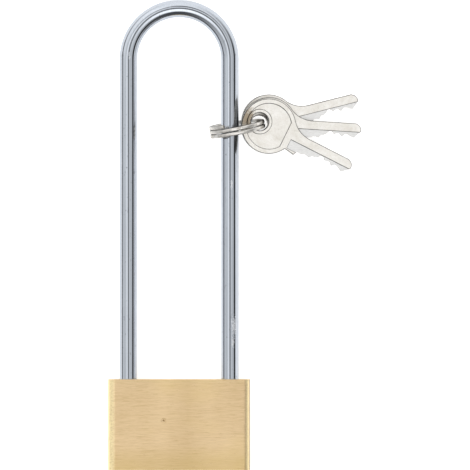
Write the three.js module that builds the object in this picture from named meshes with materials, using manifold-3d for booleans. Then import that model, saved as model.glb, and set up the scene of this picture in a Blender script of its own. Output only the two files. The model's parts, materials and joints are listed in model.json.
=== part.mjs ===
// A solid-brass padlock with a long steel shackle, lying on its back, and its split ring of three keys.
// Millimetres. The origin is the centre of the body's back face; +X points to the toe leg's side,
// +Y from the key end to the shackle, and +Z out of the front face.
// The plug is drawn as a turned key leaves it: the spring bolt is out of the shackle's notch.
import * as THREE from "three";
import { mergeVertices } from "three/addons/utils/BufferGeometryUtils.js";
import Module from "manifold-3d";

const wasm = await Module();
wasm.setup();

// ---- Driving dimensions ----
const bodyWidth = 50;
const bodyHeight = 32;
const bodyThickness = 15;
const bodyEdgeRadius = 2.6;

const legDiameter = 6.3;
const legSpacing = 35.8;
const shackleClearHeight = 127.5;
const shackleTravel = 12.5;
const toeDepth = 11.5;
const heelDepth = 24;

const boreClearance = 0.3; // radial, between a round piece and the hole it works in
const pressGap = 0.1; // radial, round pieces that are pressed into the body
const plugRadius = 5.5;
const plugLength = 19.4;
const camGap = 0.4;

const pinCount = 5;
const pinRadius = 1.1;
const pinChamberClearance = 0.2;
const firstPinFromFace = 3.4;
const pinPitch = 2.8;
const driverLength = 4;
const chamberPlugLength = 3.4;

const boltRadius = 2.7;
const boltThrow = 2;
const boltBelowTop = 6.2;
const boltLength = 16.9;
const boltTipClearance = 0.45; // the drawn-back tip's distance inside the toe bore's wall
const pegRadius = 0.8;

const retainingPinRadius = 0.8;
const heelPinRadius = 1;
const heelPinWall = 2.5; // left whole in front of the heel leg's pin
const neckDepth = 1.25; // of the turned neck this pin holds

const keyThickness = 2;
const keyGap = 0.3;
const bowRadius = 9.72;
const bowHoleRadius = 3.15;
const bowHoleSetback = 3.64; // hole centre behind the bow's centre
const collarRadius = 4.47;
const bowRecessRadius = 8.2;
const bowRecessChord = 6.74;
const bowRecessDepth = 0.25;
const keyShoulder = 13; // from the bow's centre
const bladeLength = 19.7;
const spineHeight = 2.4;
const bladeEdge = 3.6;
const keywayClearance = 0.2; // round the key's blade
const millTop = 0.58; // the milled step's upper line, below the key's centre line
const millBottom = 3.76;
const millDepth = 0.5;
const millStart = 9;
const cutHeights = [3.1, 2.4, 0.9, 1.5, 1.6]; // from the key's centre line to each cut's floor
const cutFlat = 0.8;

const ringOuterRadius = 9.9;
const wireWidth = 1.2; // across the ring
const wireHeight = 1.2; // along the ring's axis
const ringPitch = 1.5;
const ringStart = 119; // degrees, measured from the ring's right towards its front
const ringEnd = 930;
const ringYaw = 9.7; // the ring's right side stands this many degrees higher
const ringLean = 5; // its front leans towards the body
const ringBelowBend = 24.15; // its centre, below the start of the shackle's bend
const ringInsideLeg = 0.6; // its centre, in from the leg's outer side
const ringAboveSurface = 0.2; // its lowest point, with the lock on its back
const keyTilt = 8.8; // the bunch slopes down to the surface
const keyPoses = [
  { angle: -26.5, back: 1.45, side: 0 },
  { angle: -3.4, back: 1.3, side: -0.5 },
  { angle: 14.1, back: 0.9, side: -0.4 },
]; // direction of each key, and where the wire sits: ahead of the hole's centre, and to its side

// ---- Sizes that follow ----
const legRadius = legDiameter / 2;
const legX = legSpacing / 2;
const bodyTop = bodyHeight / 2;
const bodyBottom = -bodyHeight / 2;
const midZ = bodyThickness / 2;
const bendY = bodyTop + shackleClearHeight - (legX - legRadius);
const legBore = legRadius + boreClearance;
const plugBore = plugRadius + boreClearance;
const plugTop = bodyBottom + plugLength;
const camBottom = plugTop + camGap;
const camRadius = pegRadius + boltThrow + 0.4;
const boltY = bodyTop - boltBelowTop;
const boltBore = boltRadius + boreClearance;
const toeBottom = bodyTop - toeDepth;
const toeBoreBottom = toeBottom - 0.8;
const heelBottom = bodyTop - heelDepth;
const heelBoreBottom = bodyBottom + 2.5;
const neckRadius = legRadius - neckDepth;
const heelPinDepth = bodyThickness - heelPinWall;
const heelPinY = boltY - 1.6;
const heelPinX = -legX + neckRadius + boreClearance + heelPinRadius;
const neckTop = heelPinY + heelPinRadius + boreClearance;
const neckBottom = heelPinY - heelPinRadius - shackleTravel - boreClearance;
const boltTip = legX - legBore - boltTipClearance;
const boltTail = boltTip - boltLength;
const notchDepth = boltTip + boltThrow + 0.4 - (legX - legRadius);
const grooveY = plugTop - 1.9;
const retainingPinX = -plugRadius + 0.1;
const grooveRadius = -retainingPinX - retainingPinRadius - boreClearance;
const plugPinAt = [retainingPinX, grooveY];
const heelPinAt = [heelPinX, heelPinY];
const chamberRadius = pinRadius + pinChamberClearance;
const pinSpringRadius = pinRadius - 0.26;
const keyPinOuterEnd = plugRadius - 0.2;
const driverInnerEnd = plugRadius + 0.2;
const pinTravel = 1.8;
const chamberPlugInnerEnd = bodyWidth / 2 - chamberPlugLength;
const pinHeights = cutHeights.map((_, k) => bodyBottom + firstPinFromFace + k * pinPitch);
const keywayWidth = keyThickness + 2 * keywayClearance;
const ringCentre = new THREE.Vector3(
  legX + legRadius - ringInsideLeg,
  bendY - ringBelowBend,
  ringOuterRadius + ringAboveSurface,
);
const degrees = Math.PI / 180;

// ---- Materials ----
const finish = (color, roughness, metalness = 1) =>
  new THREE.MeshStandardMaterial({ color, roughness, metalness });
const brass = finish(0xd9bd8e, 0.38);
const plainBrass = finish(0xc9a55c, 0.3);
const steel = finish(0xb9c0c8, 0.18);
const springSteel = finish(0x8d9298, 0.35);
const nickel = finish(0xe6e2d8, 0.25);

// ---- Solids ----
function solid(geometry) {
  const bare = geometry.index ? geometry.toNonIndexed() : geometry.clone();
  bare.deleteAttribute("normal");
  bare.deleteAttribute("uv");
  const merged = mergeVertices(bare, 1e-4);
  return new wasm.Manifold(
    new wasm.Mesh({
      numProp: 3,
      vertProperties: merged.attributes.position.array,
      triVerts: new Uint32Array(merged.index.array),
    }),
  );
}

function geometryOf(made) {
  const { vertProperties, triVerts } = made.getMesh();
  const geometry = new THREE.BufferGeometry();
  geometry.setAttribute("position", new THREE.BufferAttribute(new Float32Array(vertProperties), 3));
  geometry.setIndex(new THREE.BufferAttribute(new Uint32Array(triVerts), 1));
  geometry.computeVertexNormals();
  return geometry;
}

function piece(name, shape, material) {
  const geometry = shape.isBufferGeometry ? shape : geometryOf(shape);
  const mesh = new THREE.Mesh(geometry, material);
  mesh.name = name;
  return mesh;
}

const cut = (from, ...tools) => tools.reduce((made, tool) => made.subtract(tool), from);
const join = (...made) => made.reduce((a, b) => a.add(b));

// A round bar along one axis ("x", "y" or "z"), between two places on it. The other two coordinates are at.
function bar(axis, start, end, radius, at, sides = 24) {
  const geometry = new THREE.CylinderGeometry(radius, radius, Math.abs(end - start), sides);
  const middle = (start + end) / 2;
  if (axis === "x") geometry.rotateZ(-Math.PI / 2).translate(middle, at[0], at[1]);
  if (axis === "y") geometry.translate(at[0], middle, at[1]);
  if (axis === "z") geometry.rotateX(Math.PI / 2).translate(at[0], at[1], middle);
  return geometry;
}

function block(low, high) {
  const size = low.map((v, i) => high[i] - v);
  const centre = low.map((v, i) => (high[i] + v) / 2);
  return new THREE.BoxGeometry(...size).translate(...centre);
}

// A ring around a line along Y, from a closed profile of [radius, y] points.
function collarAround(profile, x, z, sides = 24) {
  const points = [...profile, profile[0]].map(([r, y]) => new THREE.Vector2(r, y));
  return new THREE.LatheGeometry(points, sides).translate(x, 0, z);
}

// A curve whose stations are taken as they come, so that a straight stretch needs only one step.
class StationCurve extends THREE.Curve {
  constructor(point) {
    super();
    this.point = point;
  }
  getPoint(t) {
    return this.point(t);
  }
  getUtoTmapping(u) {
    return u;
  }
}

const roundSection = (radius, sides) =>
  new THREE.Shape(
    Array.from({ length: sides }, (_, i) => {
      const a = (2 * Math.PI * i) / sides;
      return new THREE.Vector2(radius * Math.cos(a), radius * Math.sin(a));
    }),
  );

// A coil spring along +X from 0 to length.
function coilSpring(length, radius, wireRadius, turns) {
  const stepsPerTurn = 8;
  const span = length - 2 * wireRadius;
  const helix = new StationCurve((t) => {
    const a = 2 * Math.PI * turns * t;
    return new THREE.Vector3(wireRadius + span * t, radius * Math.cos(a), radius * Math.sin(a));
  });
  return new THREE.ExtrudeGeometry(roundSection(wireRadius, 5), {
    steps: Math.round(turns * stepsPerTurn),
    extrudePath: helix,
  });
}

// ---- Body block, drilled from its ends and its toe side ----
function bodyOutline() {
  const w = bodyWidth / 2;
  const r = bodyEdgeRadius;
  const t = bodyThickness;
  const shape = new THREE.Shape();
  shape.moveTo(-w + r, 0);
  shape.lineTo(w - r, 0);
  shape.absarc(w - r, r, r, -Math.PI / 2, 0, false);
  shape.absarc(w - r, t - r, r, 0, Math.PI / 2, false);
  shape.absarc(-w + r, t - r, r, Math.PI / 2, Math.PI, false);
  shape.absarc(-w + r, r, r, Math.PI, 1.5 * Math.PI, false);
  return shape;
}

function lockBody() {
  const prism = new THREE.ExtrudeGeometry(bodyOutline(), {
    depth: bodyHeight,
    bevelEnabled: false,
    curveSegments: 6,
  });
  prism.rotateX(Math.PI / 2); // the outline's Y becomes +Z, and its depth runs to -Y
  prism.translate(0, bodyTop, 0);
  const past = 1;
  const chambers = pinHeights.map((y) =>
    bar("x", plugRadius - 1, bodyWidth / 2 + past, chamberRadius, [y, midZ], 16),
  );
  const holes = [
    bar("y", heelBoreBottom, bodyTop + past, legBore, [-legX, midZ]),
    bar("y", toeBoreBottom, bodyTop + past, legBore, [legX, midZ]),
    bar("y", bodyBottom - past, camBottom - camGap / 2, plugBore, [0, midZ], 32),
    bar("y", camBottom - camGap, boltY, camRadius + boreClearance, [0, midZ]),
    bar("x", boltTail - 5, bodyWidth / 2 + past, boltBore, [boltY, midZ]),
    bar("z", midZ - plugRadius - 1, bodyThickness + past, retainingPinRadius + pressGap, plugPinAt, 16),
    bar("z", -past, heelPinDepth + 0.3, heelPinRadius + pressGap, heelPinAt, 16),
    ...chambers,
  ];
  return cut(solid(prism), ...holes.map(solid));
}

// ---- Shackle ----
function shackle() {
  const bendSteps = 28;
  const stations = bendSteps + 2;
  const path = new StationCurve((t) => {
    const k = t * stations;
    if (k < 1) return new THREE.Vector3(-legX, heelBottom + (bendY - heelBottom) * k, midZ);
    if (k > stations - 1) {
      return new THREE.Vector3(legX, bendY - (bendY - toeBottom) * (k - stations + 1), midZ);
    }
    const a = Math.PI * (1 - (k - 1) / bendSteps);
    return new THREE.Vector3(legX * Math.cos(a), bendY + legX * Math.sin(a), midZ);
  });
  const rod = new THREE.ExtrudeGeometry(roundSection(legRadius, 24), {
    steps: stations,
    extrudePath: path,
  });
  const wide = legRadius + 1;
  const neck = collarAround(
    [
      [neckRadius, neckBottom],
      [wide, neckBottom],
      [wide, neckTop],
      [neckRadius, neckTop],
    ],
    -legX,
    midZ,
  );
  const endTaper = (x, y) =>
    collarAround(
      [
        [legRadius - 1, y - 1],
        [wide, y - 1],
        [wide, y + 1.4],
        [legRadius + 0.01, y + 1.4],
        [legRadius - 1, y],
      ],
      x,
      midZ,
    );
  const notchShape = new THREE.Shape();
  notchShape.moveTo(legX - wide, boltY - boltBore - 0.8);
  notchShape.lineTo(legX - legRadius + notchDepth, boltY - boltBore);
  notchShape.lineTo(legX - legRadius + notchDepth, boltY + boltBore);
  notchShape.lineTo(legX - wide, boltY + boltBore + 0.8);
  const notch = new THREE.ExtrudeGeometry(notchShape, { depth: bodyThickness, bevelEnabled: false });
  const tools = [neck, endTaper(-legX, heelBottom), endTaper(legX, toeBottom), notch];
  return cut(solid(rod), ...tools.map(solid));
}

// ---- Key plug and its pins, drawn locked: the pin chambers point to +X ----
function keyPlug() {
  const wide = plugRadius + 1;
  const groove = collarAround(
    [
      [grooveRadius, grooveY - retainingPinRadius - boreClearance],
      [wide, grooveY - retainingPinRadius - boreClearance],
      [wide, grooveY + retainingPinRadius + boreClearance],
      [grooveRadius, grooveY + retainingPinRadius + boreClearance],
    ],
    0,
    0,
    32,
  );
  const keyway = block(
    [-spineHeight - keywayClearance, bodyBottom - 1, -keywayWidth / 2],
    [bladeEdge + keywayClearance, plugTop + 1, keywayWidth / 2],
  );
  const chambers = pinHeights.map((y, k) =>
    bar("x", cutHeights[k] - pinTravel - 0.2, plugRadius + 1, chamberRadius, [y, 0], 16),
  );
  const blank = bar("y", bodyBottom + 0.1, plugTop, plugRadius, [0, 0], 32);
  return cut(solid(blank), ...[groove, keyway, ...chambers].map(solid));
}

function tailCam() {
  const boss = bar("y", camBottom, camBottom + 2.3, camRadius, [0, 0]);
  const peg = bar("y", camBottom + 1, boltY - 0.6, pegRadius, [boltThrow, 0], 16);
  return join(solid(boss), solid(peg));
}

// A pin with a pointed end at its inner end, along X.
function pin(inner, outer, y) {
  const point = 0.8;
  const geometry = new THREE.CylinderGeometry(0.45, pinRadius, point, 16);
  geometry.rotateZ(Math.PI / 2).translate(inner + point / 2, y, 0);
  return join(solid(geometry), solid(bar("x", inner + point - 1e-4, outer, pinRadius, [y, 0], 16)));
}

// ---- Spring bolt ----
function springBolt() {
  const rod = bar("x", boltTail, boltTip, boltRadius, [boltY, midZ]);
  const lostMotion = 0.21 * boltThrow; // the peg's arc runs this far ahead of the bolt's even slide
  const slot = block(
    [-pegRadius - boreClearance, boltY - boltRadius - 1, 0],
    [pegRadius + lostMotion + boreClearance, boltY - 0.2, bodyThickness],
  );
  const bevel = new THREE.Shape();
  bevel.moveTo(boltTip - 2, boltY + boltRadius + 0.01);
  bevel.lineTo(boltTip + 1, boltY + boltRadius + 0.01);
  bevel.lineTo(boltTip + 1, boltY + boltRadius - 3);
  const bevelTool = new THREE.ExtrudeGeometry(bevel, { depth: bodyThickness, bevelEnabled: false });
  return cut(solid(rod), solid(slot), solid(bevelTool));
}

// ---- Key: its centre line is X from the bow's centre, and its cuts face -Y ----
function bladeEdgeAt(x) {
  const tip = keyShoulder + bladeLength;
  const cuts = cutHeights.map((height, k) => {
    const from = Math.abs(x - (keyShoulder + firstPinFromFace + k * pinPitch)) - cutFlat / 2;
    return height + Math.max(0, from);
  });
  return Math.min(bladeEdge, ...cuts, millTop + 0.9 * (tip - x));
}

function keyOutline() {
  const tip = keyShoulder + bladeLength;
  const neckAngle = 42 * degrees; // where the bow's circle runs into the neck, on the spine's side
  const stubAngle = -Math.asin(4.5 / bowRadius);
  const shape = new THREE.Shape();
  shape.absarc(0, 0, bowRadius, neckAngle, 2 * Math.PI + stubAngle, false);
  shape.lineTo(keyShoulder - 0.7, -millBottom - 1.35);
  shape.lineTo(keyShoulder, -millBottom);
  const edge = [keyShoulder + 0.01];
  cutHeights.forEach((_, k) => {
    const middle = keyShoulder + firstPinFromFace + k * pinPitch;
    edge.push(middle - pinPitch / 2, middle - cutFlat / 2, middle + cutFlat / 2);
  });
  edge.push(tip - 2.4, tip - 1.2, tip);
  edge.forEach((x) => shape.lineTo(x, -bladeEdgeAt(x)));
  shape.quadraticCurveTo(tip + 0.5, spineHeight * 0.6, tip - 1.8, spineHeight);
  shape.lineTo(keyShoulder + 2, spineHeight);
  shape.quadraticCurveTo(
    bowRadius + 0.3,
    spineHeight + 0.2,
    bowRadius * Math.cos(neckAngle),
    bowRadius * Math.sin(neckAngle),
  );
  const hole = new THREE.Path();
  hole.absarc(-bowHoleSetback, 0, bowHoleRadius, 0, 2 * Math.PI, true);
  shape.holes.push(hole);
  return shape;
}

function keySolid() {
  const half = keyThickness / 2;
  const blank = new THREE.ExtrudeGeometry(keyOutline(), {
    depth: keyThickness,
    bevelEnabled: false,
    curveSegments: 18,
  }).translate(0, 0, -half);
  const chordAngle = Math.acos(bowRecessChord / bowRecessRadius);
  const recess = new THREE.Shape();
  recess.absarc(0, 0, bowRecessRadius, chordAngle, 2 * Math.PI - chordAngle, false);
  const collar = new THREE.Path();
  collar.absarc(-bowHoleSetback, 0, collarRadius, 0, 2 * Math.PI, true);
  recess.holes.push(collar);
  const deep = { depth: 1, bevelEnabled: false, curveSegments: 14 };
  const sink = (z) => new THREE.ExtrudeGeometry(recess, deep).translate(0, 0, z);
  const end = keyShoulder + bladeLength + 2;
  return cut(
    solid(blank),
    solid(sink(half - bowRecessDepth)),
    solid(sink(-half + bowRecessDepth - 1)),
    solid(block([millStart, -millBottom, half - millDepth], [end, -millTop, half + 1])),
    solid(block([millStart + 1, 0.5, -half - 1], [end, 1.6, -half + millDepth])),
  );
}

// ---- Split ring: its plane's axes, then the wire, which winds down from the front ----
const ringAlong = new THREE.Vector3(Math.cos(ringYaw * degrees), Math.sin(ringYaw * degrees), 0);
const ringAxis = new THREE.Vector3(-Math.sin(ringYaw * degrees), Math.cos(ringYaw * degrees), 0);
ringAxis.applyAxisAngle(ringAlong, ringLean * degrees);
const ringFront = new THREE.Vector3().crossVectors(ringAlong, ringAxis);
const wireRadius = ringOuterRadius - wireWidth / 2;

function onRing(degreesRound, lift = 0) {
  const a = degreesRound * degrees;
  return ringCentre
    .clone()
    .addScaledVector(ringAlong, wireRadius * Math.cos(a))
    .addScaledVector(ringFront, wireRadius * Math.sin(a))
    .addScaledVector(ringAxis, lift);
}

function splitRing() {
  const middle = (ringStart + ringEnd) / 2;
  const path = new StationCurve((t) => {
    const a = ringStart + (ringEnd - ringStart) * t;
    return onRing(a, (ringPitch * (middle - a)) / 360);
  });
  // A square section with its corners taken off.
  const w = wireWidth / 2;
  const h = wireHeight / 2;
  const c = 0.25;
  const corners = [
    [w, h - c], [w - c, h], [c - w, h], [-w, h - c],
    [-w, c - h], [c - w, -h], [w - c, -h], [w, c - h],
  ];
  const section = new THREE.Shape(corners.map(([x, y]) => new THREE.Vector2(x, y)));
  return new THREE.ExtrudeGeometry(section, { steps: 80, extrudePath: path });
}

// Where the wire passes through the key that is level places above the middle of the bunch.
const keyNormal = new THREE.Vector3(Math.sin(keyTilt * degrees), 0, Math.cos(keyTilt * degrees));
function wireAtLevel(level) {
  const along = wireRadius * ringAlong.dot(keyNormal);
  const front = wireRadius * ringFront.dot(keyNormal);
  const start = onRing(-keyTilt).sub(ringCentre).dot(keyNormal);
  const height = start + level * (keyThickness + keyGap);
  const a = Math.atan2(front, along) - Math.acos(height / Math.hypot(along, front));
  return onRing(a / degrees);
}

// ---- Assembly ----
const padlock = new THREE.Group();
padlock.add(piece("lock_body", lockBody(), brass));
padlock.add(piece("shackle", shackle(), steel));
padlock.add(piece("spring_bolt", springBolt(), plainBrass));

const plugPin = bar("z", midZ - plugRadius, bodyThickness - 0.05, retainingPinRadius, plugPinAt, 16);
padlock.add(piece("plug_retaining_pin", plugPin, brass));
const heelPin = bar("z", 0.1, heelPinDepth, heelPinRadius, heelPinAt, 16);
padlock.add(piece("heel_retaining_pin", heelPin, steel));
const boltPlugStart = legX + legBore + 0.4;
const boltBorePlug = bar("x", boltPlugStart, bodyWidth / 2 - 0.02, boltBore - pressGap, [boltY, midZ]);
padlock.add(piece("bolt_bore_plug", boltBorePlug, brass));

const heelSpring = coilSpring(heelBottom - heelBoreBottom - 0.5, 2.2, 0.4, 4.5);
heelSpring.rotateZ(Math.PI / 2).translate(-legX, heelBoreBottom + 0.2, midZ);
padlock.add(piece("heel_spring", heelSpring, springSteel));
const boltSpring = coilSpring(4.4, 1.7, 0.3, 4.5).translate(boltTail - 4.7, boltY, midZ);
padlock.add(piece("bolt_spring", boltSpring, springSteel));

const core = new THREE.Group(); // the plug and what turns with it, a quarter turn from locked
core.position.set(0, 0, midZ);
core.rotation.y = Math.PI / 2;
core.add(piece("key_plug", keyPlug(), plainBrass));
core.add(piece("tail_cam", tailCam(), steel));
padlock.add(core);

for (let k = 0; k < pinCount; k++) {
  const y = pinHeights[k];
  core.add(piece(`key_pin_${k + 1}`, pin(cutHeights[k], keyPinOuterEnd, y), plainBrass));
  const driver = bar("x", driverInnerEnd, driverInnerEnd + driverLength, pinRadius, [y, midZ], 16);
  padlock.add(piece(`driver_pin_${k + 1}`, driver, steel));
  const springStart = driverInnerEnd + driverLength + 0.2;
  const spring = coilSpring(chamberPlugInnerEnd - 0.2 - springStart, pinSpringRadius, 0.16, 6);
  spring.translate(springStart, y, midZ);
  padlock.add(piece(`pin_spring_${k + 1}`, spring, springSteel));
  const capRadius = chamberRadius - pressGap;
  const cap = bar("x", chamberPlugInnerEnd, bodyWidth / 2 - 0.02, capRadius, [y, midZ], 16);
  padlock.add(piece(`chamber_plug_${k + 1}`, cap, brass));
}

padlock.add(piece("split_ring", splitRing(), nickel));
const keyShape = geometryOf(keySolid());
keyPoses.forEach(({ angle, back, side }, k) => {
  const holder = new THREE.Group(); // turns about the wire, in the tilted plane of the bunch
  holder.position.copy(wireAtLevel(1 - k));
  holder.rotation.set(0, keyTilt * degrees, angle * degrees, "YZX");
  const key = piece(`key_${k + 1}`, keyShape, nickel);
  key.position.set(bowHoleSetback - back, side, 0);
  holder.add(key);
  padlock.add(holder);
});

export default padlock;
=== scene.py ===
import json
import math

import bmesh
import bpy
from mathutils import Matrix, Vector


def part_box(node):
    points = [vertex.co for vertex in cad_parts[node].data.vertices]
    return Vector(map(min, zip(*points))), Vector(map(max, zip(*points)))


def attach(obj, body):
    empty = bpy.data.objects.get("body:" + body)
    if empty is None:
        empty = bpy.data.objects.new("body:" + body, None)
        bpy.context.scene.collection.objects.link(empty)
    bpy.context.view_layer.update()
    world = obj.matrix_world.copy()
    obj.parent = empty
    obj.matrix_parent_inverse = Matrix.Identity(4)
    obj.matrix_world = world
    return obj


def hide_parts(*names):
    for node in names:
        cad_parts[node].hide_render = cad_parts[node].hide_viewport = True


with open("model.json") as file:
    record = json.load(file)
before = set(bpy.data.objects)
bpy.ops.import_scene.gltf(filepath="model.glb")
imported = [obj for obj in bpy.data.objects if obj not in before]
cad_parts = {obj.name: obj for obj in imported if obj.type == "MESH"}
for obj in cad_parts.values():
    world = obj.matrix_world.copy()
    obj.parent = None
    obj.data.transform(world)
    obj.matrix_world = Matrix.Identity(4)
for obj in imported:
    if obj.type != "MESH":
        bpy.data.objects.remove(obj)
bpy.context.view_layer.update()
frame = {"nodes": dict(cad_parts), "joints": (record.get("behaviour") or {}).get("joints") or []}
print("frame loaded")

metre = 0.001  # one millimetre in metres
joints = {joint["name"]: joint for joint in frame["joints"]}


def boxOf(node):
    low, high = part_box(node)
    return low / metre, high / metre


def middleOf(node):
    low, high = boxOf(node)
    return (low + high) / 2


def arc(x, y, radius, start, end, steps):
    # points along an arc, angles in degrees, both ends included
    angles = [math.radians(start + (end - start) * i / steps) for i in range(steps + 1)]
    return [(x + radius * math.cos(a), y + radius * math.sin(a)) for a in angles]


def quarterCurve(a, b, c, steps):
    # points of a curve from a to c that is pulled towards b, without a itself
    made = []
    for i in range(1, steps + 1):
        t = i / steps
        made.append(tuple((1 - t) ** 2 * a[k] + 2 * t * (1 - t) * b[k] + t * t * c[k] for k in (0, 1)))
    return made


def plate(outline, low, high):
    # an outline in the XY plane given a thickness
    bm = bmesh.new()
    face = bm.faces.new([bm.verts.new((x, y, low)) for x, y in outline])
    made = bmesh.ops.extrude_face_region(bm, geom=[face])
    moved = [v for v in made["geom"] if isinstance(v, bmesh.types.BMVert)]
    bmesh.ops.translate(bm, verts=moved, vec=(0, 0, high - low))
    bmesh.ops.recalc_face_normals(bm, faces=bm.faces[:])
    return bm


def turned(profile, steps=64):
    # a profile of (radius, height) points, from axis to axis, spun round Z
    bm = bmesh.new()
    points = [bm.verts.new((r, 0, z)) for r, z in profile]
    edges = [bm.edges.new(pair) for pair in zip(points, points[1:])]
    bmesh.ops.spin(
        bm, geom=points + edges, cent=(0, 0, 0), axis=(0, 0, 1), angle=2 * math.pi, steps=steps,
        use_merge=True,
    )
    bmesh.ops.remove_doubles(bm, verts=bm.verts[:], dist=1e-4)
    bmesh.ops.recalc_face_normals(bm, faces=bm.faces[:])
    return bm


def rod(radius, low, high, steps=48):
    return turned([(0, low), (radius, low), (radius, high), (0, high)], steps)


facing = {
    "x": Matrix.Rotation(math.radians(90), 4, "Y"),
    "y": Matrix.Rotation(math.radians(-90), 4, "X"),
    "z": Matrix.Identity(4),
    "-y": Matrix.Rotation(math.radians(90), 4, "X"),
}


def placed(bm, axis, at=(0, 0, 0)):
    # turns a shape made along Z to point along another axis, then moves it
    bm.transform(Matrix.Translation(at) @ facing[axis])
    return bm


def block(low, high):
    bm = bmesh.new()
    bmesh.ops.create_cube(bm, size=1)
    size = Vector(high) - Vector(low)
    bm.transform(Matrix.Translation((Vector(low) + Vector(high)) / 2) @ Matrix.Diagonal((*size, 1)))
    return bm


def shown(bm, name):
    mesh = bpy.data.meshes.new(name)
    bm.to_mesh(mesh)
    bm.free()
    obj = bpy.data.objects.new(name, mesh)
    bpy.context.scene.collection.objects.link(obj)
    return obj


def carve(bm, tools):
    # cuts the tools out of a shape
    work = shown(bm, "work")
    group = bpy.data.collections.new("tools")
    cutters = [shown(tool, "tool") for tool in tools]
    for cutter in cutters:
        group.objects.link(cutter)
    cut = work.modifiers.new("cut", "BOOLEAN")
    cut.operation = "DIFFERENCE"
    cut.solver = "EXACT"
    cut.operand_type = "COLLECTION"
    cut.collection = group
    cut.use_self = True
    made = bmesh.new()
    made.from_object(work, bpy.context.evaluated_depsgraph_get())
    for obj in [work, *cutters]:
        mesh = obj.data
        bpy.data.objects.remove(obj)
        bpy.data.meshes.remove(mesh)
    bpy.data.collections.remove(group)
    bmesh.ops.remove_doubles(made, verts=made.verts[:], dist=1e-4)
    return made


def breakEdges(bm, level, width, segments=1):
    # bevels the sharp edges that lie at one height
    edges = []
    for edge in bm.edges:
        flat = all(abs(v.co.z - level) < 1e-4 for v in edge.verts)
        if flat and len(edge.link_faces) == 2 and edge.calc_face_angle(0) > 0.5:
            edges.append(edge)
    bmesh.ops.bevel(
        bm, geom=edges, offset=width, offset_type="OFFSET", segments=segments, profile=0.5,
        affect="EDGES", material=-1, clamp_overlap=False,
    )
    return bm


def marked(bm, name, test):
    # notes on each face whether the test holds, for the material to read
    layer = bm.faces.layers.float.new(name)
    for face in bm.faces:
        face[layer] = 1.0 if test(face) else 0.0


def finishPiece(bm, name, material, slot, body, *nodes):
    # scales to metres, shades, and hands the piece to its body in place of the CAD nodes
    bm.transform(Matrix.Scale(metre, 4))
    obj = shown(bm, name)
    obj.data.materials.append(material)
    obj.data.shade_smooth()
    obj.data.set_sharp_from_angle(angle=math.radians(32))
    weighted = obj.modifiers.new("weighted normals", "WEIGHTED_NORMAL")
    weighted.keep_sharp = True
    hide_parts(*nodes)
    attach(obj, body)
    return obj


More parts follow.
